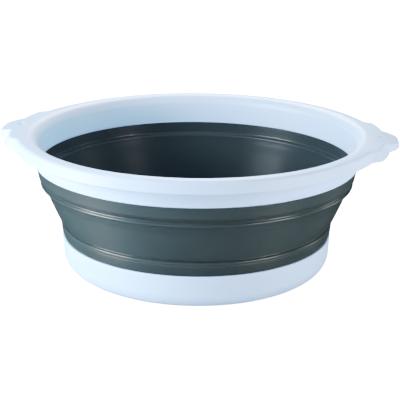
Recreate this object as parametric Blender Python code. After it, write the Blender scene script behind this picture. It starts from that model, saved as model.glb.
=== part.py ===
# Collapsible camp washbasin: a rigid rim with two handles, a soft wall that folds inside out and a base cup.
# Metres, +Z up, the floor at z = 0, the basin's axis on Z and the handles along X.
# The soft wall stands open. Upright round cuts part it into an upper band, hoops and a lower band. Each keeps
# its radius and only slides along Z when the rim is pressed down, so the wall turns over in steps.

import math

import bmesh
import bpy
import numpy as np
from mathutils import Vector

# Heights, stacked from the floor up
BASE_SIDE_HEIGHT = 0.0330       # base cup, floor to its joint with the soft wall
LOWER_BAND_HEIGHT = 0.0110      # soft wall, that joint to the lower hinge groove
FOLD_HEIGHT = 0.0420            # lower hinge groove to upper hinge groove
UPPER_BAND_HEIGHT = 0.01525     # upper hinge groove to the joint with the rim
RIM_WALL_HEIGHT = 0.0270        # rim, its joint to its top

# Radii, stacked from the base cup out
BASE_JOINT_RADIUS = 0.1273      # outside of the base cup at its joint
FOLD_CLEARANCE = 0.0005         # the fold's innermost cut stands this far outside the base cup
FOLD_REACH = 0.0156             # how far the fold band spreads, up to its outermost cut
UPPER_BAND_FLARE = 0.0066       # from there to the outside of the rim's joint
FLANGE_REACH = 0.0133           # from the rim's joint to the edge of the flat top
SHOULDER_FLARE = 0.0060         # that edge widens by this much towards a handle
SHOULDER_STEP = 0.0055          # and steps out by this much at a handle's shoulder
LOBE_REACH = 0.0112             # the handle's grip lobe stands out past the shoulders

# Walls and joints
RIM_WALL = 0.0032               # rim wall and upper band, at their joint
RIM_SHELL = 0.0022              # flange plate and lip
BASE_WALL = 0.0026              # base side wall
BASE_FLOOR = 0.0024             # base floor plate
FOLD_WALL = 0.0022              # fold band
HINGE_WALL = 0.0014             # soft wall at its grooves
JOINT_GAP = 0.0003              # clearance between pieces that touch
TONGUE_THICKNESS = 0.0008       # the rigid edges run into the soft wall as a tongue
TONGUE_DEPTH = 0.0035
RIM_TONGUE_INSET = 0.0015       # the tongue's outer side, in from the joint's outside
BASE_TONGUE_INSET = 0.0009

# Rim section
INNER_ROUND = 0.0070            # bowl side to flat top
LIP_ROUND = 0.0030              # flat top to lip
LIP_HEIGHT = 0.0109             # flat top to the lip's lower edge
LIP_LEAN = 25                   # the lip leans out by this many degrees
RIM_DRAFT = 0.0008              # the inner wall leans outward by this much

# Handles
LOBE_HALF_WIDTH = 0.0215
LOBE_CORNER = 0.0120
LOBE_DROP = 0.0012              # the lobe's top lies this much below the rim's
LOBE_LIP_RISE = 0.0022          # its lip ends this much higher than a shoulder's
LOBE_LEAN = 12                  # its lip leans out by this many degrees
LOBE_ROOT_REACH = 0.0020        # the shoulder swells by this much beside the lobe
LOBE_ROOT_WIDTH = 0.0085
STEP_START_SHARE = 0.66         # where the top steps down on a lobe, as a share of its width
STEP_END_SHARE = 0.76
SHOULDER_HALF_WIDTH = 0.0520
SHOULDER_BLEND = 0.0110         # length over which a shoulder runs out at its end
SHOULDER_LIP_RISE = 0.0024      # its lip ends this much higher than the rim's
FLARE_START = 0.0980            # the flat top starts to widen this far from the handle's middle
FLARE_END = 0.0300              # and ends here
HANG_HOLE_RADIUS = 0.00375
HANG_HOLE_INSET = 0.0175        # hole's centre, in from the lobe's edge

# Soft wall section
BEAD_RADIUS = 0.0011
UPPER_GROOVE_DEPTH = 0.0016     # below the crest of the bead beside it
LOWER_GROOVE_DEPTH = 0.0026
BAND_LIP_ROUND = 0.0020         # the upper band's lower edge
BAND_LIP_OVERHANG = 0.0038      # how far that edge stands out past the outermost cut
LEDGE_HEIGHT = 0.0030           # the ledge inside, above the upper groove
SHOULDER_DROP = 0.0132          # the fold's straight flank starts this far below the upper groove
SHOULDER_INSET = 0.0054         # and this far inside the outermost cut
SHOULDER_LEAD = 0.0044          # the rounding follows the flank for this long
FLANK_FOOT_RISE = 0.0023        # the flank's foot above the lower groove
LOWER_BULGE = 0.0003            # the lower band swells by this much at half its height

# Base cup section
BASE_DRAFT = 0.0008             # the side leans in by this much down to the bottom round
BOTTOM_ROUND = 0.0160
FOOT_WIDTH = 0.0045
FOOT_HEIGHT = 0.0025
FOOT_BEVEL = 0.0012
FLOOR_DOME = 0.0006             # the floor's middle lies this much higher
DOME_RADIUS_SHARE = 0.30        # the flat middle of the floor, as a share of the foot's radius

HOOPS = 5
ROUND_STEPS = 56                # segments round a turned piece
SHOULDER_STEPS = 3              # segments in the fold's rounded shoulder
FINE_STEPS = 5                  # segments of a handle for one segment of the rim
HOLE_STEPS = 24
OVERRUN = 0.0020                # a cutter runs past what it cuts
MERGE_DISTANCE = 0.00001        # points this close on the axis are one point
SHARP_ANGLE = 35                # faces that meet at more than this many degrees show an edge

# Heights and radii that follow
BASE_JOINT_Z = BASE_SIDE_HEIGHT
LOWER_GROOVE_Z = BASE_JOINT_Z + LOWER_BAND_HEIGHT
UPPER_GROOVE_Z = LOWER_GROOVE_Z + FOLD_HEIGHT
RIM_JOINT_Z = UPPER_GROOVE_Z + UPPER_BAND_HEIGHT
RIM_TOP_Z = RIM_JOINT_Z + RIM_WALL_HEIGHT
FOLD_INNER_RADIUS = BASE_JOINT_RADIUS + FOLD_CLEARANCE
FOLD_OUTER_RADIUS = FOLD_INNER_RADIUS + FOLD_REACH
RIM_JOINT_RADIUS = FOLD_OUTER_RADIUS + UPPER_BAND_FLARE
FLANGE_RADIUS = RIM_JOINT_RADIUS + FLANGE_REACH
SHOULDER_RADIUS = FLANGE_RADIUS + SHOULDER_FLARE + SHOULDER_STEP
LOBE_RADIUS = SHOULDER_RADIUS + LOBE_REACH


def remove_everything():
    for thing in list(bpy.data.objects):
        bpy.data.objects.remove(thing, do_unlink=True)


def plastic(name, colour, roughness):
    material = bpy.data.materials.new(name)
    material.use_nodes = True
    shader = material.node_tree.nodes["Principled BSDF"]
    shader.inputs["Base Color"].default_value = (*colour, 1.0)
    shader.inputs["Roughness"].default_value = roughness
    shader.inputs["Metallic"].default_value = 0.0
    return material


def arc(centre_r, centre_z, radius, start, end, steps):
    # points on a round corner of a section, angles in degrees from the outward direction
    angles = [math.radians(start + (end - start) * i / steps) for i in range(steps + 1)]
    return [(centre_r + radius * math.cos(a), centre_z + radius * math.sin(a)) for a in angles]


def finish(name, bm, material):
    bmesh.ops.recalc_face_normals(bm, faces=bm.faces)
    mesh = bpy.data.meshes.new(name)
    bm.to_mesh(mesh)
    bm.free()
    mesh.shade_smooth()
    mesh.set_sharp_from_angle(angle=math.radians(SHARP_ANGLE))
    mesh.materials.append(material)
    piece = bpy.data.objects.new(name, mesh)
    bpy.context.scene.collection.objects.link(piece)
    return piece


def turned(name, section, material, closed=True):
    # spins a section of (radius, height) points round Z; an open section starts and ends on the axis
    bm = bmesh.new()
    verts = [bm.verts.new((r, 0.0, z)) for r, z in section]
    ends = verts[1:] + verts[:1] if closed else verts[1:]
    edges = [bm.edges.new(pair) for pair in zip(verts, ends)]
    bmesh.ops.spin(
        bm,
        geom=verts + edges,
        cent=(0, 0, 0),
        axis=(0, 0, 1),
        angle=math.tau,
        steps=ROUND_STEPS,
        use_merge=True,
    )
    if not closed:
        bmesh.ops.remove_doubles(bm, verts=bm.verts, dist=MERGE_DISTANCE)
    return finish(name, bm, material)


# The handles: how far the rim's outer edge stands from the axis, at an angle from the nearest handle

def smooth(share):
    share = min(max(share, 0.0), 1.0)
    return share * share * (3 - 2 * share)


def lobe_edge(angle):
    # a tab with rounded corners, seen from the basin's axis; zero where the tab isn't
    corner = Vector((LOBE_RADIUS - LOBE_CORNER, LOBE_HALF_WIDTH - LOBE_CORNER))
    ray = Vector((math.cos(angle), math.sin(angle)))
    straight = LOBE_RADIUS / ray.x
    if straight * ray.y <= corner.y:
        return straight
    along = corner.dot(ray)
    inside = along * along - corner.length_squared + LOBE_CORNER * LOBE_CORNER
    return along + math.sqrt(inside) if inside > 0 else 0.0


def flange_edge(angle):
    # the flat top widens towards a handle, steps out at the shoulder and swells beside the lobe
    across = math.sin(angle) * SHOULDER_RADIUS
    flare = smooth((FLARE_START - across) / (FLARE_START - FLARE_END))
    step = smooth((SHOULDER_HALF_WIDTH + SHOULDER_BLEND / 2 - across) / SHOULDER_BLEND)
    root = smooth((LOBE_HALF_WIDTH + LOBE_ROOT_WIDTH - across) / LOBE_ROOT_WIDTH)
    return FLANGE_RADIUS + SHOULDER_FLARE * flare + SHOULDER_STEP * step + LOBE_ROOT_REACH * root


def rim_section(angle):
    # one section of the rim, from the bowl side over the top, round the lip and back to the tongue
    off = abs(math.remainder(angle, math.pi))
    edge = max(lobe_edge(off), flange_edge(off))
    on_shoulder = min((edge - FLANGE_RADIUS) / (SHOULDER_RADIUS - FLANGE_RADIUS), 1.0)
    on_lobe = min(max((edge - SHOULDER_RADIUS) / LOBE_REACH, 0.0), 1.0)
    drop = LOBE_DROP * on_lobe
    lean = LIP_LEAN + (LOBE_LEAN - LIP_LEAN) * on_lobe
    lip_z = RIM_TOP_Z - LIP_HEIGHT + SHOULDER_LIP_RISE * on_shoulder + LOBE_LIP_RISE * on_lobe
    inner = RIM_JOINT_RADIUS - RIM_WALL
    top_in = inner + RIM_DRAFT + INNER_ROUND
    top_out = edge - LIP_ROUND * math.cos(math.radians(lean))
    round_z = RIM_TOP_Z - drop - LIP_ROUND
    flare = (round_z + LIP_ROUND * math.sin(math.radians(lean)) - lip_z) * math.tan(math.radians(lean))
    step_in = top_in + (top_out - top_in) * STEP_START_SHARE
    step_out = top_in + (top_out - top_in) * STEP_END_SHARE
    under = RIM_TOP_Z - RIM_SHELL
    tongue_out = RIM_JOINT_RADIUS - RIM_TONGUE_INSET
    tongue_in = tongue_out - TONGUE_THICKNESS
    points = [(inner, RIM_JOINT_Z)]
    points += arc(top_in, RIM_TOP_Z - INNER_ROUND, INNER_ROUND, 180, 90, 4)
    points += [(step_in, RIM_TOP_Z), (step_out, RIM_TOP_Z - drop)]
    points += arc(top_out, round_z, LIP_ROUND, 90, lean, 3)
    points += [(edge + flare, lip_z), (edge + flare - RIM_SHELL, lip_z)]
    points += [(edge - RIM_SHELL, round_z), (top_out, under - drop)]
    points += [(step_out, under - drop), (step_in, under)]
    points += arc(top_in, RIM_TOP_Z - INNER_ROUND, INNER_ROUND - RIM_SHELL, 90, 180, 2)
    points += [(RIM_JOINT_RADIUS, RIM_JOINT_Z)]
    points += [(tongue_out, RIM_JOINT_Z), (tongue_out, RIM_JOINT_Z - TONGUE_DEPTH)]
    points += [(tongue_in, RIM_JOINT_Z - TONGUE_DEPTH), (tongue_in, RIM_JOINT_Z)]
    return points


def rim_angles():
    # even steps all round, with fine ones over the lobes and over the shoulders' ends
    coarse = math.tau / ROUND_STEPS
    angles = []
    for i in range(ROUND_STEPS * FINE_STEPS):
        angle = coarse * i / FINE_STEPS
        across = abs(math.sin(angle)) * SHOULDER_RADIUS
        on_lobe = across < LOBE_HALF_WIDTH + LOBE_ROOT_WIDTH
        at_step = abs(across - SHOULDER_HALF_WIDTH) < SHOULDER_BLEND
        if i % FINE_STEPS == 0 or on_lobe or at_step:
            angles.append(angle)
    return angles


def make_rim(material):
    bm = bmesh.new()
    rings = []
    for angle in rim_angles():
        across, along = math.sin(angle), math.cos(angle)
        rings.append([bm.verts.new((r * along, r * across, z)) for r, z in rim_section(angle)])
    for here, there in zip(rings, rings[1:] + rings[:1]):
        for i in range(len(here)):
            j = (i + 1) % len(here)
            bm.faces.new((here[i], here[j], there[j], there[i]))
    rim = finish("rim_frame", bm, material)
    for side in (-1, 1):
        cutter_mesh = bpy.data.meshes.new("hang_hole_cutter")
        bm = bmesh.new()
        bmesh.ops.create_cone(
            bm,
            cap_ends=True,
            segments=HOLE_STEPS,
            radius1=HANG_HOLE_RADIUS,
            radius2=HANG_HOLE_RADIUS,
            depth=LIP_HEIGHT + OVERRUN * 2,
        )
        bm.to_mesh(cutter_mesh)
        bm.free()
        cutter = bpy.data.objects.new("hang_hole_cutter", cutter_mesh)
        cutter.location = (side * (LOBE_RADIUS - HANG_HOLE_INSET), 0, RIM_TOP_Z - LIP_HEIGHT / 2)
        cutter.rotation_euler.z = math.pi / HOLE_STEPS
        cutter.hide_render = True
        cutter.display_type = "WIRE"
        bpy.context.scene.collection.objects.link(cutter)
        cut = rim.modifiers.new("hang hole", "BOOLEAN")
        cut.operation = "DIFFERENCE"
        cut.object = cutter
    return rim


# The soft wall

def flank_line():
    # outer side of the fold band, from its foot up the flank and over the shoulder to the upper bead
    foot = Vector((FOLD_INNER_RADIUS, LOWER_GROOVE_Z + FLANK_FOOT_RISE))
    top = Vector((FOLD_OUTER_RADIUS - SHOULDER_INSET, UPPER_GROOVE_Z - SHOULDER_DROP))
    slope = (top.x - foot.x) / (top.y - foot.y)
    lead = Vector((top.x + slope * SHOULDER_LEAD, top.y + SHOULDER_LEAD))
    end = upper_bead_foot()
    line = [foot, top]
    for i in range(1, SHOULDER_STEPS + 1):
        t = i / SHOULDER_STEPS
        line.append(top * (1 - t) ** 2 + lead * (2 * t * (1 - t)) + end * t**2)
    return line


def upper_bead_foot():
    return Vector((FOLD_OUTER_RADIUS + UPPER_GROOVE_DEPTH, UPPER_GROOVE_Z - BEAD_RADIUS * 2 - JOINT_GAP * 2))


def flank_thickness():
    # the wall measured level, which is more than its thickness because the flank leans
    foot, top = flank_line()[:2]
    lean = math.atan2(top.x - foot.x, top.y - foot.y)
    return FOLD_WALL / math.cos(lean)


def outer_height(radius):
    line = flank_line()
    return float(np.interp(radius, [p.x for p in line], [p.y for p in line]))


def inner_height(radius):
    return outer_height(radius + flank_thickness())


def hoop_radii(index):
    width = (FOLD_REACH - JOINT_GAP * (HOOPS + 1)) / HOOPS
    start = FOLD_INNER_RADIUS + JOINT_GAP + index * (width + JOINT_GAP)
    return start, start + width


def hoop_section(index):
    inside, outside = hoop_radii(index)
    thick = flank_thickness()
    bends = [p.x for p in flank_line()[1:-1]]
    below = [inside] + [r for r in bends if inside < r < outside] + [outside]
    above = [outside] + [r - thick for r in reversed(bends) if inside < r - thick < outside] + [inside]
    return [(r, outer_height(r)) for r in below] + [(r, inner_height(r)) for r in above]


def upper_band_section():
    inner = RIM_JOINT_RADIUS - RIM_WALL
    top = RIM_JOINT_Z - JOINT_GAP
    lip = FOLD_OUTER_RADIUS + BAND_LIP_OVERHANG
    lip_z = UPPER_GROOVE_Z + BAND_LIP_ROUND + JOINT_GAP
    ledge = UPPER_GROOVE_Z + LEDGE_HEIGHT
    slot_out = RIM_JOINT_RADIUS - RIM_TONGUE_INSET + JOINT_GAP
    slot_in = slot_out - TONGUE_THICKNESS - JOINT_GAP * 2
    slot_z = RIM_JOINT_Z - TONGUE_DEPTH - JOINT_GAP
    bead_foot = upper_bead_foot()
    bead_z = UPPER_GROOVE_Z - BEAD_RADIUS - JOINT_GAP
    points = [(RIM_JOINT_RADIUS, top)]
    points += arc(lip - BAND_LIP_ROUND, lip_z, BAND_LIP_ROUND, 0, -80, 3)
    points += [(FOLD_OUTER_RADIUS + HINGE_WALL, UPPER_GROOVE_Z)]
    points += arc(bead_foot.x + JOINT_GAP, bead_z, BEAD_RADIUS, 70, -40, 3)
    points += [tuple(bead_foot), (FOLD_OUTER_RADIUS, outer_height(FOLD_OUTER_RADIUS))]
    points += arc(FOLD_OUTER_RADIUS + BEAD_RADIUS, ledge - BEAD_RADIUS, BEAD_RADIUS, 180, 90, 2)
    points += [(inner - BEAD_RADIUS, ledge), (inner, ledge + BEAD_RADIUS)]
    points += [(inner, top), (slot_in, top), (slot_in, slot_z), (slot_out, slot_z), (slot_out, top)]
    return points


def lower_band_section():
    inner = BASE_JOINT_RADIUS - BASE_WALL
    bottom = BASE_JOINT_Z + JOINT_GAP
    bead_z = LOWER_GROOVE_Z - BEAD_RADIUS - JOINT_GAP
    bead_r = FOLD_INNER_RADIUS - BEAD_RADIUS - JOINT_GAP
    under_bead = bead_z - BEAD_RADIUS - JOINT_GAP
    middle = (bottom + under_bead) / 2
    groove = FOLD_INNER_RADIUS - LOWER_GROOVE_DEPTH
    slot_out = BASE_JOINT_RADIUS - BASE_TONGUE_INSET + JOINT_GAP
    slot_in = slot_out - TONGUE_THICKNESS - JOINT_GAP * 2
    slot_z = BASE_JOINT_Z + TONGUE_DEPTH + JOINT_GAP
    foot_z = LOWER_GROOVE_Z + FLANK_FOOT_RISE
    points = [(inner, bottom), (inner, under_bead), (groove - HINGE_WALL, LOWER_GROOVE_Z)]
    points += [(FOLD_INNER_RADIUS - flank_thickness(), foot_z + HINGE_WALL)]
    points += [(FOLD_INNER_RADIUS, inner_height(FOLD_INNER_RADIUS)), (FOLD_INNER_RADIUS, foot_z)]
    points += [(groove, LOWER_GROOVE_Z + JOINT_GAP)]
    points += arc(bead_r, bead_z, BEAD_RADIUS, 60, -50, 3)
    points += [(BASE_JOINT_RADIUS - JOINT_GAP, under_bead), (BASE_JOINT_RADIUS + LOWER_BULGE, middle)]
    points += [(BASE_JOINT_RADIUS, bottom), (slot_out, bottom)]
    points += [(slot_out, slot_z), (slot_in, slot_z), (slot_in, bottom)]
    return points


def base_section():
    # from the middle of the underside out over the foot, up the side, over the tongue and down inside
    inner = BASE_JOINT_RADIUS - BASE_WALL
    tongue_out = BASE_JOINT_RADIUS - BASE_TONGUE_INSET
    tongue_in = tongue_out - TONGUE_THICKNESS
    round_r = BASE_JOINT_RADIUS - BASE_DRAFT - BOTTOM_ROUND
    foot_r = round_r - FOOT_WIDTH
    dome_r = foot_r * DOME_RADIUS_SHARE
    floor = FOOT_HEIGHT + BASE_FLOOR
    inner_round = BOTTOM_ROUND - BASE_WALL
    points = [(0, FOOT_HEIGHT + FLOOR_DOME), (dome_r, FOOT_HEIGHT + FLOOR_DOME)]
    points += [(foot_r - FOOT_BEVEL, FOOT_HEIGHT), (foot_r, FOOT_BEVEL), (foot_r + FOOT_BEVEL, 0)]
    points += arc(round_r, BOTTOM_ROUND, BOTTOM_ROUND, -90, 0, 5)
    points += [(BASE_JOINT_RADIUS, BASE_JOINT_Z), (tongue_out, BASE_JOINT_Z)]
    points += [(tongue_out, BASE_JOINT_Z + TONGUE_DEPTH), (tongue_in, BASE_JOINT_Z + TONGUE_DEPTH)]
    points += [(tongue_in, BASE_JOINT_Z), (inner, BASE_JOINT_Z)]
    points += arc(round_r, floor + inner_round, inner_round, 0, -90, 4)
    points += [(dome_r, floor + FLOOR_DOME), (0, floor + FLOOR_DOME)]
    return points


def fold_shares():
    # how much of the rim's travel each hoop takes: none at the lower groove, all at the upper one
    shares = []
    for index in range(HOOPS):
        inside, outside = hoop_radii(index)
        height = outer_height((inside + outside) / 2)
        shares.append(smooth((height - LOWER_GROOVE_Z) / FOLD_HEIGHT))
    return shares


def make_soft_wall(material):
    turned("wall_upper_band", upper_band_section(), material)
    for index in range(HOOPS):
        turned(f"wall_fold_hoop_{index + 1}", hoop_section(index), material)
    turned("wall_lower_band", lower_band_section(), material)


def main():
    remove_everything()
    polypropylene = plastic("pale blue polypropylene", (0.70, 0.80, 0.90), 0.42)
    elastomer = plastic("slate grey elastomer", (0.13, 0.18, 0.18), 0.50)
    make_rim(polypropylene)
    make_soft_wall(elastomer)
    turned("base_cup", base_section(), polypropylene, closed=False)
    print("share of the rim's travel, hoop by hoop:", [round(share, 4) for share in fold_shares()])


main()
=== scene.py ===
import math

import bmesh
import bpy
from mathutils import Matrix, Vector


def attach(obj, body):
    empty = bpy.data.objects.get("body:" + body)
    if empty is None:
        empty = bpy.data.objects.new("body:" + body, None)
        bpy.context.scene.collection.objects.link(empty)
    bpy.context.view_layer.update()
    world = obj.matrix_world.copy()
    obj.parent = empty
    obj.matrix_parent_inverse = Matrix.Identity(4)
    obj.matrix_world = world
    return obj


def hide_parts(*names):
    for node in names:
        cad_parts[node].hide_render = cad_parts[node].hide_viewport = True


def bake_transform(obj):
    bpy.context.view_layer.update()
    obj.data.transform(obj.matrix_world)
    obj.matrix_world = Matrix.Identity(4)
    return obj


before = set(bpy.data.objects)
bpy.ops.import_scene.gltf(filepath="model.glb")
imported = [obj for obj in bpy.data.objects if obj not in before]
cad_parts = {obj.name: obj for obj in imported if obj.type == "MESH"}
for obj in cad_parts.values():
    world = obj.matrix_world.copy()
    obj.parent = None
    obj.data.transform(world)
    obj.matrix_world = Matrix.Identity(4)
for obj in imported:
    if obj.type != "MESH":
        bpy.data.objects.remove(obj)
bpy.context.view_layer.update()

mm = 0.001  # the tables of shapes below are in millimetres
mergeDistance = 0.01 * mm


# Small helpers

def startFresh():
    if bpy.context.object and bpy.context.object.mode != "OBJECT":
        bpy.ops.object.mode_set(mode="OBJECT")
    bpy.ops.object.select_all(action="DESELECT")


def makeActive(piece):
    startFresh()
    piece.select_set(True)
    bpy.context.view_layer.objects.active = piece


def extrudeRing(old, new):
    # pulls the selected ring of edges to a new radius and height (mm)
    bpy.ops.mesh.extrude_region_move(TRANSFORM_OT_translate={"value": (0, 0, (new[1] - old[1]) * mm)})
    grow = new[0] / old[0]
    bpy.ops.transform.resize(value=(grow, grow, 1), center_override=(0, 0, new[1] * mm))


def turnRings(name, rings, columns):
    # a circle, then one extrusion for each further ring; it stays in edit mode with the last ring selected
    startFresh()
    radius, height = rings[0]
    bpy.ops.mesh.primitive_circle_add(vertices=columns, radius=radius * mm, location=(0, 0, 0))
    piece = bpy.context.object
    piece.name = piece.data.name = name
    bpy.ops.object.mode_set(mode="EDIT")
    bpy.ops.mesh.select_mode(type="VERT")
    bpy.ops.mesh.select_all(action="SELECT")
    bpy.ops.transform.translate(value=(0, 0, height * mm))
    for old, new in zip(rings, rings[1:]):
        extrudeRing(old, new)
    return piece


def selectVerts(piece, wanted):
    # in edit mode, selects the vertices whose index or place the test accepts
    shape = bmesh.from_edit_mesh(piece.data)
    bpy.ops.mesh.select_all(action="DESELECT")
    shape.verts.ensure_lookup_table()
    for vert in shape.verts:
        if wanted(vert):
            vert.select = True
    shape.select_flush(True)
    bmesh.update_edit_mesh(piece.data)


def selectRing(piece, ring, columns):
    selectVerts(piece, lambda vert: vert.index // columns == ring)


def closeShape(piece):
    # joins what coincides, turns every face outward and leaves edit mode
    bpy.ops.mesh.select_all(action="SELECT")
    bpy.ops.mesh.remove_doubles(threshold=mergeDistance)
    bpy.ops.mesh.normals_make_consistent(inside=False)
    bpy.ops.object.mode_set(mode="OBJECT")


def addModifier(piece, kind, **settings):
    # adds a modifier and applies it at once
    makeActive(piece)
    modifier = piece.modifiers.new(kind.lower(), kind)
    for name, value in settings.items():
        setattr(modifier, name, value)
    bpy.ops.object.modifier_apply(modifier=modifier.name)


def smoothShade(piece, degrees):
    makeActive(piece)
    bpy.ops.object.shade_smooth_by_angle(angle=math.radians(degrees))


def arcPoints(centreR, centreZ, radius, start, end, steps):
    # points on a round edge in the section, from one angle to another, in degrees
    turns = [math.radians(start + (end - start) * i / steps) for i in range(steps + 1)]
    return [(centreR + radius * math.cos(t), centreZ + radius * math.sin(t)) for t in turns]


def ease(share):
    share = min(max(share, 0.0), 1.0)
    return share * share * (3 - 2 * share)


# Materials

def hexColour(code):
    parts = [int(code[i:i + 2], 16) / 255 for i in (1, 3, 5)]
    return tuple(p / 12.92 if p <= 0.04045 else ((p + 0.055) / 1.055) ** 2.4 for p in parts) + (1.0,)


def addNode(tree, kind, settings=None, **links):
    # settings: a socket's name or number, or a property's name, with its value
    # links: a socket's name, with the socket that feeds it
    node = tree.nodes.new(kind)
    for name, value in (settings or {}).items():
        if isinstance(name, int) or name in node.inputs:
            node.inputs[name].default_value = value
        else:
            setattr(node, name, value)
    for name, source in links.items():
        tree.links.new(source, node.inputs[name.replace("_", " ")])
    return node


def newMaterial(name):
    material = bpy.data.materials.new(name)
    material.use_nodes = True
    tree = material.node_tree
    tree.nodes.clear()
    return material, tree


def mouldedSurface(tree, settings):
    # what both plastics share: faint clouds of colour, and a fine grain that shows in gloss and relief
    place = addNode(tree, "ShaderNodeTexCoord")
    cloud = addNode(tree, "ShaderNodeTexNoise",
                    {"Scale": 1 / settings["cloudSize"], "Detail": settings["cloudDetail"]},
                    Vector=place.outputs["Object"])
    # a colour mix has its share in socket 0 and its two colours in sockets 6 and 7
    first, second = settings["colours"]
    tint = addNode(tree, "ShaderNodeMix", {"data_type": "RGBA", 6: hexColour(first), 7: hexColour(second)})
    tree.links.new(cloud.outputs["Fac"], tint.inputs[0])
    grain = addNode(tree, "ShaderNodeTexNoise",
                    {"Scale": 1 / settings["grainSize"], "Detail": settings["grainDetail"],
                     "Roughness": settings["grainRoughness"]},
                    Vector=place.outputs["Object"])
    smoothest, roughest = settings["roughness"]
    rough = addNode(tree, "ShaderNodeMapRange", {"To Min": smoothest, "To Max": roughest},
                    Value=grain.outputs["Fac"])
    bump = addNode(tree, "ShaderNodeBump",
                   {"Strength": settings["grainStrength"], "Distance": settings["grainDepth"]},
                   Height=grain.outputs["Fac"])
    return {"Base_Color": tint.outputs[2], "Roughness": rough.outputs["Result"],
            "Normal": bump.outputs["Normal"]}


def polypropylene(settings):
    # injection-moulded: milky, a little light goes in, satin gloss with a fine spark-eroded grain
    material, tree = newMaterial(settings["name"])
    surface = mouldedSurface(tree, settings)
    shader = addNode(tree, "ShaderNodeBsdfPrincipled",
                     {"IOR": settings["refraction"], "Subsurface Weight": settings["milkiness"],
                      "Subsurface Scale": settings["lightDepth"],
                      "Subsurface Radius": settings["lightReach"]},
                     **surface)
    addNode(tree, "ShaderNodeOutputMaterial", Surface=shader.outputs["BSDF"])
    return material


def elastomer(settings):
    # moulded onto the rim and base: dark slate, satin, with the mould's fine turning marks round it, which
    # draw every highlight out into an upright streak, and a slightly oily skin that lights the edges
    material, tree = newMaterial(settings["name"])
    surface = mouldedSurface(tree, settings)
    around = addNode(tree, "ShaderNodeTangent", {"direction_type": "RADIAL", "axis": "Z"})
    shader = addNode(tree, "ShaderNodeBsdfPrincipled",
                     {"Specular IOR Level": settings["gloss"], "Anisotropic": settings["streak"],
                      "Anisotropic Rotation": settings["streakTurn"], "Coat Weight": settings["skin"],
                      "Coat Roughness": settings["skinRoughness"]},
                     Tangent=around.outputs["Tangent"], **surface)
    addNode(tree, "ShaderNodeOutputMaterial", Surface=shader.outputs["BSDF"])
    return material


# sizes in the materials are in metres
rimPlastic = polypropylene({
    "name": "injection-moulded polypropylene",
    "colours": ("#B8D6FF", "#B2D0FD"),
    "cloudSize": 0.060, "cloudDetail": 2.0,  # flow clouds of about 60 mm
    "grainSize": 0.0009,                     # the real grain is 0.2 mm, coarser here so that it shows
    "grainDetail": 3.0, "grainRoughness": 0.6,
    "grainDepth": 0.00003, "grainStrength": 0.25,
    "roughness": (0.44, 0.54),
    "refraction": 1.49,                      # polypropylene's index
    "milkiness": 0.35, "lightDepth": 0.006, "lightReach": (1.0, 1.0, 1.1),
})
rubberSet = {
    "name": "moulded thermoplastic elastomer",
    "colours": ("#374245", "#3D484B"),
    "cloudSize": 0.050, "cloudDetail": 3.0,
    "grainSize": 0.0010,                     # the real grain is 0.3 mm, coarser here so that it shows
    "grainDetail": 4.0, "grainRoughness": 0.6,
    "grainDepth": 0.00004, "grainStrength": 0.30,
    "roughness": (0.42, 0.52), "gloss": 0.15,
    "streak": 0.85, "streakTurn": 0.25,
    "skin": 0.55, "skinRoughness": 0.24,
}
wallRubber = elastomer(rubberSet)
# the mould's core and its foot are blasted, so the inside and the lower band hardly have the skin's shine;
# only the ledge inside is polished.
# Their colours are darker too: that is painted shade on the inside of the bowl and on the lower band
matteShadedRubber = elastomer({**rubberSet, "name": "thermoplastic elastomer off a blasted core",
                          "colours": ("#323C3E", "#374144"), "gloss": 0.13, "skin": 0.03})
print("materials ready")


# Rim: one moulding, bowl side, flat top, turned-down lip and two handles

rimShape = {
    "columns": 720,
    "foot": (146.8, 99.9),        # lower edge, bowl side
    "footBead": [(146.7, 100.7), (147.35, 101.5)],  # a narrow bead that the soft wall is moulded against
    "footOutside": 101.3,
    "wallTop": (147.8, 119.2),    # where the wall starts to round over
    "innerRound": 9.0, "innerRoundSteps": 7,
    "topHeight": 128.5,
    "landing": 158.0,             # a ring on the flat top, inside its edge
    "landingShare": 0.62,         # how far that ring follows the edge out into the handles
    "edge": 165.3,                # edge of the flat top between the handles
    "lipFoot": (167.5, 117.9),    # lower edge of the turned-down lip
    "lipWall": 2.4,
    "underside": 125.2, "undersideInset": 1.0,
    "outerWall": 150.0, "outerWallChamfer": 1.5,
    "edgeRound": 2.8, "lipRound": 0.9, "footRound": 0.5, "roundSteps": 5,
    "smoothUpTo": 35,             # edges sharper than this, in degrees, stay sharp
}
handleShape = {
    "span": 39.4,                 # degrees from the handle's middle to where the rim is plain again
    "flareStart": 110.0, "flareEnd": 30.0, "flareReach": 2.4,  # the flat top widens towards the handle
    "shoulderHalf": 54.6, "shoulderBlend": 7.0, "shoulderReach": 5.0,
    "lobeTip": 185.2, "lobeHalf": 22.3, "lobeCorner": 15.5,
    "lobeDrop": 2.4,
    "shoulderRise": 1.6, "lobeRise": 1.7,          # how much higher the lip ends there
    "shoulderLipReach": 5.6, "lobeLipReach": 1.0,  # how far the lip's foot stands out from the edge
    # the upper edge is crisper here: within so many mm of the middle, this share of its bevel goes
    "crisper": [(58, 0.12), (56, 0.16), (54, 0.20)],
    "holeRadius": 3.75, "holeAt": 168.5, "holeColumns": 48,
    # how much wider the hole is above and below, and how far from the plate's face
    "holeRound": [(0.6, 0.25), (0.35, -0.03), (0.1, -0.2), (0.0, -0.45)],
    "holeRelief": [(2.4, 0.25), (2.1, -0.2), (1.0, -1.1), (0.0, -1.7)],
}


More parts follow.
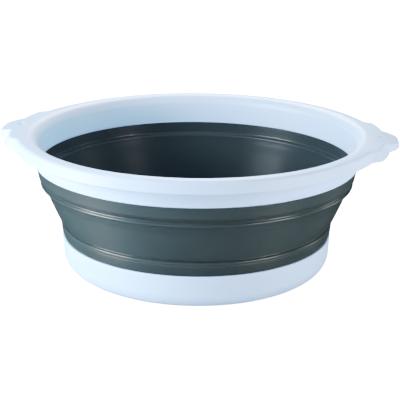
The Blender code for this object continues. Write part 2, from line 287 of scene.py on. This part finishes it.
def handleEdge(turn):
    # the flat top's edge at an angle from the handle's middle, and how far that is shoulder and lobe
    h = handleShape
    shoulderRadius = rimShape["edge"] + h["flareReach"] + h["shoulderReach"]
    across = math.sin(turn) * shoulderRadius
    flare = ease((h["flareStart"] - across) / (h["flareStart"] - h["flareEnd"]))
    shoulder = ease((h["shoulderHalf"] + h["shoulderBlend"] / 2 - across) / h["shoulderBlend"])
    edge = rimShape["edge"] + h["flareReach"] * flare
    edge += h["shoulderReach"] * shoulder
    corner = Vector((h["lobeTip"] - h["lobeCorner"], h["lobeHalf"] - h["lobeCorner"]))
    ray = Vector((math.cos(turn), math.sin(turn)))
    if h["lobeTip"] * math.tan(turn) <= corner.y:
        edge = h["lobeTip"] / ray.x
    else:
        along = corner.dot(ray)
        inside = along * along - corner.length_squared + h["lobeCorner"] ** 2
        if inside > 0:
            edge = max(edge, along + math.sqrt(inside))
    onShoulder = min((edge - rimShape["edge"]) / (shoulderRadius - rimShape["edge"]), 1.0)
    onLobe = min(max((edge - shoulderRadius) / (h["lobeTip"] - shoulderRadius), 0.0), 1.0)
    return edge, onShoulder, onLobe


def pullHandleColumns(piece, ring, shift):
    # one vertex after another of a ring is moved out and up by shift(turn, radius); the ring stays selected
    columns = rimShape["columns"]
    shape = bmesh.from_edit_mesh(piece.data)
    shape.verts.ensure_lookup_table()
    moves = []
    for i in range(ring * columns, (ring + 1) * columns):
        spot = shape.verts[i].co
        turn = math.atan2(abs(spot.y), abs(spot.x))
        if math.degrees(turn) < handleShape["span"]:
            out, up = shift(turn, math.hypot(spot.x, spot.y) / mm)
            ray = Vector((spot.x, spot.y, 0)).normalized()
            moves.append((i, ray * out * mm + Vector((0, 0, up * mm))))
    for i, move in moves:
        bpy.ops.mesh.select_all(action="DESELECT")
        shape = bmesh.from_edit_mesh(piece.data)
        shape.verts.ensure_lookup_table()
        shape.verts[i].select = True
        bpy.ops.transform.translate(value=move)
    selectRing(piece, ring, columns)


def markRing(piece, ring, weight):
    # gives the edges of one ring their share of the bevel
    selectRing(piece, ring, rimShape["columns"])
    bpy.ops.transform.edge_bevelweight(value=weight)


def makeHoleCutter(side):
    # a pin that opens out at both ends, so that the hang hole gets rounded edges
    h = handleShape
    above = [(h["holeRadius"] + wider, rimShape["topHeight"] + height) for wider, height in h["holeRound"]]
    below = [(h["holeRadius"] + wider, rimShape["underside"] - height) for wider, height in h["holeRelief"]]
    rings = above + below[::-1]
    cutter = turnRings("hole cutter", rings, h["holeColumns"])
    for ring in (0, len(rings) - 1):
        selectRing(cutter, ring, h["holeColumns"])
        bpy.ops.mesh.edge_face_add()
    bpy.ops.mesh.select_all(action="SELECT")
    bpy.ops.transform.translate(value=(side * h["holeAt"] * mm, 0, 0))
    closeShape(cutter)
    return cutter


def makeRim():
    r = rimShape
    h = handleShape
    top = r["topHeight"]
    roundR, roundZ = r["wallTop"]
    rings = [r["foot"]] + r["footBead"] + [r["wallTop"]]
    rings += arcPoints(roundR + r["innerRound"], roundZ, r["innerRound"], 180, 90, r["innerRoundSteps"])[1:]
    rings[-1] = (rings[-1][0], top)
    rings.append((r["landing"], top))
    piece = turnRings("rim", rings, r["columns"])
    # the numbers of the rings that are made next; the underside's ring lies between lipIn and back
    landing = len(rings) - 1
    edge, lipOut, lipIn = range(landing + 1, landing + 4)
    back = lipIn + 2
    last = back + 2

    def toLanding(turn, radius):
        return r["landingShare"] * (handleEdge(turn)[0] - r["edge"]), 0

    pullHandleColumns(piece, landing, toLanding)
    extrudeRing(rings[-1], (r["edge"], top))

    def toEdge(turn, radius):
        reach, _, onLobe = handleEdge(turn)
        return reach - radius, -h["lobeDrop"] * onLobe

    pullHandleColumns(piece, edge, toEdge)
    extrudeRing((r["edge"], top), r["lipFoot"])

    def toLipFoot(turn, radius):
        reach, onShoulder, onLobe = handleEdge(turn)
        flare = r["lipFoot"][0] - r["edge"]
        flare += (h["shoulderLipReach"] - flare) * onShoulder
        flare += (h["lobeLipReach"] - flare) * onLobe
        rise = h["shoulderRise"] * onShoulder + (h["lobeRise"] + h["lobeDrop"]) * onLobe
        return reach + flare - radius, rise

    pullHandleColumns(piece, lipOut, toLipFoot)
    lipInside = (r["lipFoot"][0] - r["lipWall"], r["lipFoot"][1])
    extrudeRing(r["lipFoot"], lipInside)
    underside = (r["edge"] - r["lipWall"] - r["undersideInset"], r["underside"])
    extrudeRing(lipInside, underside)
    # the underside is flat, and runs back to the round outer wall, so its next ring is made round again
    bpy.ops.transform.resize(value=(1, 1, 0), center_override=(0, 0, underside[1] * mm))
    bpy.ops.mesh.extrude_region_move()
    pullHandleColumns(piece, back, lambda turn, radius: (underside[0] - radius, 0))
    chamferTop = (r["outerWall"] + r["outerWallChamfer"], r["underside"])
    chamferFoot = (r["outerWall"], r["underside"] - r["outerWallChamfer"])
    shrink = chamferTop[0] / underside[0]
    bpy.ops.transform.resize(value=(shrink, shrink, 1), center_override=(0, 0, 0))
    extrudeRing(chamferTop, chamferFoot)
    extrudeRing(chamferFoot, (r["outerWall"], r["footOutside"]))
    selectVerts(piece, lambda vert: vert.index // r["columns"] in (0, last))
    bpy.ops.mesh.bridge_edge_loops()
    foot = r["footRound"] / r["edgeRound"]
    lip = r["lipRound"] / r["edgeRound"]
    for ring, weight in ((0, foot), (edge, 1.0), (lipOut, lip), (lipIn, lip), (last, foot)):
        markRing(piece, ring, weight)
    for reach, less in h["crisper"]:
        selectVerts(piece, lambda vert: vert.index // r["columns"] == edge and abs(vert.co.y) < reach * mm)
        bpy.ops.transform.edge_bevelweight(value=-less)
    closeShape(piece)
    addModifier(piece, "BEVEL", limit_method="WEIGHT", width=r["edgeRound"] * mm, segments=r["roundSteps"],
                use_clamp_overlap=False)
    for side in (-1, 1):
        cutter = makeHoleCutter(side)
        addModifier(piece, "BOOLEAN", operation="DIFFERENCE", object=cutter, solver="EXACT")
        bpy.data.objects.remove(cutter, do_unlink=True)
    smoothShade(piece, r["smoothUpTo"])
    addModifier(piece, "WEIGHTED_NORMAL", keep_sharp=True, mode="FACE_AREA")
    return piece


rim = makeRim()
rim.data.materials.append(rimPlastic)
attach(rim, "rim")
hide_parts("rim_frame")
print("rim ready,", len(rim.data.polygons), "faces")


# Soft wall: one elastic moulding between rim and base

wallShape = {
    "columns": 256,
    "bandTop": (149.9, 101.0), "band": [(149.8, 100.5), (149.0, 97.5), (148.2, 94.0)],
    # each round edge: centre, radius, first and last angle in the wall's section, and steps
    "bandFoot": (145.3, 91.5, 2.5, -8, -52, 5),
    "upperGroove": (145.0, 86.15, 0.5, 140, 215, 4),
    "ridge": (145.0, 84.05, 1.3, 102, -46, 9),
    "fold": [(143.9, 82.1), (143.5, 80.9), (142.3, 78.9), (140.3, 75.6), (138.9, 72.6), (137.8, 69.5),
             (135.5, 64.0), (133.0, 58.0), (130.5, 52.5), (129.0, 49.4)],
    "foldFoot": (127.2, 47.7, 0.9, -28, -66, 3),
    "lowerGroove": (126.25, 45.95, 0.45, 135, 225, 4),
    "bead": (126.75, 43.9, 1.3, 105, -52, 9),
    "lowBand": [(127.4, 42.3), (127.65, 41.4), (127.7, 40.4), (127.6, 39.0), (127.3, 37.4),
                (126.9, 35.9), (126.5, 34.5), (126.1, 33.3), (125.8, 32.35)],
    "insideLow": [(124.2, 32.35), (124.2, 33.0), (124.3, 36.0), (124.4, 42.0), (123.7, 44.2), (123.8, 46.0)],
    "insideFold": [(125.2, 48.6), (127.9, 54.0), (131.2, 61.2), (134.3, 68.0), (136.6, 73.5), (138.6, 77.3),
                   (140.3, 80.4), (141.3, 83.0), (141.8, 85.2), (141.95, 86.2)],
    "ledge": (142.95, 87.05, 1.0, 188, 112, 5),
    "insideBand": [(145.6, 88.5), (146.4, 88.8), (146.8, 89.7), (146.8, 96.0), (146.8, 99.0), (146.9, 99.6)],
    # where the lower band's blasted finish and its painted shade (a darker colour) end, and where the
    # polished ledge, in the lighter colour, starts and ends
    "lowBandMatteShadeTop": 41.4, "ledgeFoot": 86.2, "ledgeTop": 89.7,
    "smoothUpTo": 80,
}


def makeWall():
    w = wallShape
    rings = [w["bandTop"]] + w["band"]
    rings += arcPoints(*w["bandFoot"]) + arcPoints(*w["upperGroove"]) + arcPoints(*w["ridge"])
    rings += w["fold"] + arcPoints(*w["foldFoot"]) + arcPoints(*w["lowerGroove"]) + arcPoints(*w["bead"])
    rings += w["lowBand"] + w["insideLow"] + w["insideFold"] + arcPoints(*w["ledge"]) + w["insideBand"]
    piece = turnRings("soft_wall", rings, w["columns"])
    last = len(rings) - 1
    selectVerts(piece, lambda vert: vert.index // w["columns"] in (0, last))
    bpy.ops.mesh.bridge_edge_loops()
    closeShape(piece)
    smoothShade(piece, w["smoothUpTo"])
    return piece


def finishAndShadeWall(piece):
    # the first material is the shiny one, the second comes off the blasted parts of the mould and is matte,
    # with a darker colour that is painted shade inside the bowl and on the lower band
    w = wallShape
    piece.data.materials.append(wallRubber)
    piece.data.materials.append(matteShadedRubber)
    for face in piece.data.polygons:
        facesIn = face.normal.xy.dot(face.center.xy) < 0
        onLedge = w["ledgeFoot"] * mm < face.center.z < w["ledgeTop"] * mm
        onLowBand = face.center.z < w["lowBandMatteShadeTop"] * mm
        # faces that get the second material are painted darker, as shade
        face.material_index = 1 if onLowBand or (facesIn and not onLedge) else 0


softWall = makeWall()
finishAndShadeWall(softWall)
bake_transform(softWall)
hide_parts("wall_upper_band", "wall_fold_hoop_1", "wall_fold_hoop_2", "wall_fold_hoop_3",
            "wall_fold_hoop_4", "wall_fold_hoop_5", "wall_lower_band")
print("soft wall ready,", len(softWall.data.polygons), "faces")


# Base cup: short side, rounded bottom, foot ring and floor

baseShape = {
    "columns": 256,
    "joint": (127.25, 32.25),
    "wall": 2.6,
    "side": [(126.75, 22.0), (127.1, 28.0)],
    "bottomRound": 16.0, "bottomSteps": 14,
    "roundAt": 110.5,
    "footInside": 106.0, "footHeight": 2.5, "footRound": 0.9,
    # the hollow under the floor rounds over into the foot ring: radius, and how far in from the ring
    "hollowRound": 1.2, "hollowInset": 1.5,
    # the floor rises by the dome towards a flat middle; the ring at the centre closes to a point
    "floor": 4.9, "dome": 0.6, "middle": 34.0, "centre": 0.3,
    "insideTaper": 0.3, "taperHeight": 26.0, "insideSteps": 12,
    "edgeRound": 0.4, "smallSteps": 3, "edgeSteps": 2,
    "smoothUpTo": 35,
}


def makeBase():
    # from the middle of the underside out over the foot ring, up the side and back down inside
    b = baseShape
    jointR, jointZ = b["joint"]
    inside = jointR - b["wall"]
    innerRound = b["bottomRound"] - b["wall"]
    under = b["footHeight"] + b["dome"]
    over = b["floor"] + b["dome"]
    rings = [(b["centre"], under), (b["middle"], under)]
    rings += arcPoints(b["footInside"] - b["hollowInset"], b["footHeight"] - b["hollowRound"],
                       b["hollowRound"], 90, 15, b["smallSteps"])
    rings += arcPoints(b["footInside"] + b["footRound"], b["footRound"], b["footRound"], 180, 270,
                       b["smallSteps"])
    rings += arcPoints(b["roundAt"], b["bottomRound"], b["bottomRound"], -90, 0, b["bottomSteps"])
    rings += b["side"]
    rings += arcPoints(jointR - b["edgeRound"], jointZ - b["edgeRound"], b["edgeRound"], 0, 90,
                       b["edgeSteps"])
    rings += [(inside, jointZ), (inside - b["insideTaper"], b["taperHeight"])]
    rings += arcPoints(b["roundAt"], b["floor"] + innerRound, innerRound, 0, -90, b["insideSteps"])
    rings += [(b["middle"], over), (b["centre"], over)]
    piece = turnRings("base", rings, b["columns"])
    bpy.ops.mesh.merge(type="CENTER")
    selectRing(piece, 0, b["columns"])
    bpy.ops.mesh.merge(type="CENTER")
    closeShape(piece)
    smoothShade(piece, b["smoothUpTo"])
    return piece


base = makeBase()
base.data.materials.append(rimPlastic)
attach(base, "base")
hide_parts("base_cup")
print("base ready,", len(base.data.polygons), "faces")


# Floor, light and camera

stageSet = {
    "floor": "#D2D4D6",
    "floorSize": 12.0,
    "glow": 2.0,                  # how bright the floor and the studio's wall look to the camera
    "world": "#EEF3F8", "worldLight": 0.03,
    "aimHeight": 0.07,            # metres: the lamps point at the middle of the basin
}
lamps = [
    # name, direction seen from the camera and height in degrees, distance, size, power in watts, colour
    ("left softbox", -75, 17, 1.20, (0.28, 0.66), 17.0, "#F9FDFF"),
    ("left front softbox", -60, 17, 1.20, (0.25, 0.66), 12.4, "#FAFDFF"),
    ("right softbox", 58, 17, 1.20, (0.26, 0.66), 8.5, "#FFF9F4"),
    ("right low softbox", 40, 5, 1.20, (0.15, 0.30), 2.5, "#FFF9F4"),
    ("right side softbox", 104, 17, 1.20, (0.25, 0.66), 2.4, "#FFF6EE"),
    ("top softbox", 0, 80, 1.40, (1.20, 1.00), 3.9, "#FFFFFF"),
    ("back softbox", 180, 40, 1.30, (0.50, 0.50), 11.2, "#FFFFFF"),
]
toneCurve = [  # what a camera does to brightness: darker shadows, highlights held back
    (0.010, 0.0045), (0.030, 0.025), (0.070, 0.082), (0.140, 0.210), (0.250, 0.340), (0.420, 0.530),
    (0.650, 0.655), (0.900, 0.755), (1.300, 0.880), (1.900, 1.000),
]
cameraSet = {
    "place": (0.1037, -0.9391, 0.3664),
    "target": (0.00325, 0.00036, 0.0597),
    "lens": 93.9, "sensor": 36,
    "roll": 0.563,
    "nearest": 0.01,
}


def makeStage():
    startFresh()
    bpy.ops.mesh.primitive_plane_add(size=stageSet["floorSize"], location=(0, 0, 0))
    floor = bpy.context.object
    floor.name = "floor"
    # matte white paper, which the camera sees as pure white and the basin as a plain sheet
    material, tree = newMaterial("matte white paper")
    paper = addNode(tree, "ShaderNodeBsdfDiffuse", {"Color": hexColour(stageSet["floor"])})
    rays = addNode(tree, "ShaderNodeLightPath")
    glow = addNode(tree, "ShaderNodeMath", {"operation": "MULTIPLY", 1: stageSet["glow"]})
    tree.links.new(rays.outputs["Is Camera Ray"], glow.inputs[0])
    bright = addNode(tree, "ShaderNodeEmission", Strength=glow.outputs[0])
    both = addNode(tree, "ShaderNodeAddShader")
    tree.links.new(paper.outputs[0], both.inputs[0])
    tree.links.new(bright.outputs[0], both.inputs[1])
    # seen from below the paper isn't there, so that the basin's underside can be looked at
    facing = addNode(tree, "ShaderNodeNewGeometry")
    clear = addNode(tree, "ShaderNodeBsdfTransparent")
    sheet = addNode(tree, "ShaderNodeMixShader", Fac=facing.outputs["Backfacing"])
    tree.links.new(both.outputs[0], sheet.inputs[1])
    tree.links.new(clear.outputs[0], sheet.inputs[2])
    addNode(tree, "ShaderNodeOutputMaterial", Surface=sheet.outputs[0])
    floor.data.materials.append(material)
    floor.visible_glossy = False
    world = bpy.data.worlds.new("soft studio")
    bpy.context.scene.world = world
    world.use_nodes = True
    tree = world.node_tree
    sky = tree.nodes["Background"]
    sky.inputs["Color"].default_value = hexColour(stageSet["world"])
    rays = addNode(tree, "ShaderNodeLightPath")
    # the studio's wall looks white and gives little light
    level = addNode(tree, "ShaderNodeMapRange",
                    {"To Min": stageSet["worldLight"], "To Max": stageSet["glow"]},
                    Value=rays.outputs["Is Camera Ray"])
    tree.links.new(level.outputs["Result"], sky.inputs["Strength"])


def makeLamps():
    ahead = math.atan2(cameraSet["place"][1], cameraSet["place"][0])
    aim = Vector((0, 0, stageSet["aimHeight"]))
    for name, side, rise, distance, size, power, colour in lamps:
        light = bpy.data.lights.new(name, "AREA")
        light.shape = "RECTANGLE"
        light.size, light.size_y = size
        light.energy = power
        light.color = hexColour(colour)[:3]
        lamp = bpy.data.objects.new(name, light)
        turn = ahead + math.radians(side)
        lift = math.radians(rise)
        level = math.cos(lift)
        lamp.location = Vector((math.cos(turn) * level, math.sin(turn) * level, math.sin(lift))) * distance
        lamp.rotation_euler = (aim - lamp.location).to_track_quat("-Z", "Y").to_euler()
        bpy.context.scene.collection.objects.link(lamp)


def setToneCurve():
    view = bpy.context.scene.view_settings
    view.view_transform = "Standard"
    view.look = "None"
    view.use_curve_mapping = True
    mapping = view.curve_mapping
    mapping.clip_max_x = toneCurve[-1][0]
    curve = mapping.curves[3]  # the one for all colours together
    curve.points[-1].location = toneCurve[-1]
    for spot in toneCurve[:-1]:
        curve.points.new(*spot)
    mapping.update()


def makeCamera():
    c = cameraSet
    lens = bpy.data.cameras.new("camera")
    lens.lens = c["lens"]
    lens.sensor_width = c["sensor"]
    lens.clip_start = c["nearest"]
    camera = bpy.data.objects.new("camera", lens)
    bpy.context.scene.collection.objects.link(camera)
    place = Vector(c["place"])
    forward = (Vector(c["target"]) - place).normalized()
    right = forward.cross(Vector((0, 0, 1))).normalized()
    up = right.cross(forward)
    roll = math.radians(c["roll"])
    tilted = right * math.cos(roll) + up * math.sin(roll)
    upright = up * math.cos(roll) - right * math.sin(roll)
    turn = Matrix((tilted, upright, -forward)).transposed()
    camera.matrix_world = Matrix.Translation(place) @ turn.to_4x4()
    bpy.context.scene.camera = camera


makeStage()
makeLamps()
makeCamera()
setToneCurve()
print("stage ready")
